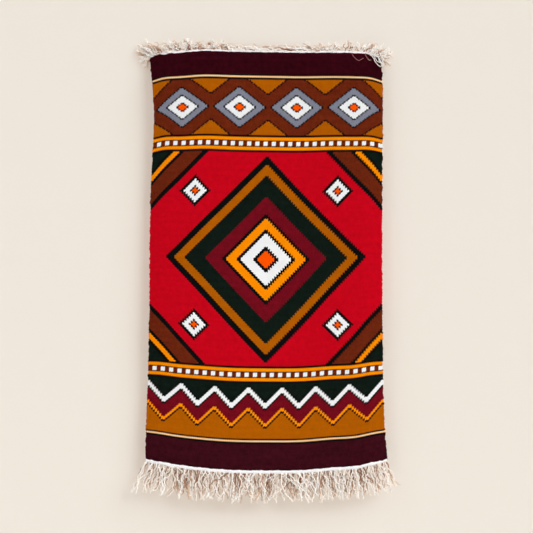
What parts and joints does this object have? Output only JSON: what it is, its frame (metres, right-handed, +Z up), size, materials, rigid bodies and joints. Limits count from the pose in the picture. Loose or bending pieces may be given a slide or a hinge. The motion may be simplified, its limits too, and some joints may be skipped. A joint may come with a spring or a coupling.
{
  "type": "woven tapestry wall hanging",
  "caption": "Hand-woven wool tapestry that hangs flat on a wall, with plain end bands, thin stripes, a geometric field, white headings and knotted cotton fringes.",
  "frame": {"origin": "back of the cloth, at the middle of its top edge, where the wall holds it", "axes": "+Z up, along the drop of the cloth; +Y from the front of the cloth to the wall; +X to the right of someone who faces the front"},
  "size_m": [0.576, 0.0366, 0.9996],
  "materials": {
    "wool_tapestry": "matt weft-faced wool weave in maroon, crimson, rust, ochre, black, white and green",
    "cotton_heading": "matt white cotton cord weave",
    "cotton_fringe": "matt off-white twisted cotton strands"
  },
  "bodies": {
    "root": {"tapestry_cloth": "wool_tapestry", "heading_top": "cotton_heading", "heading_bottom": "cotton_heading", "fringe_top": "cotton_fringe", "fringe_bottom": "cotton_fringe"}
  },
  "joints": []
}
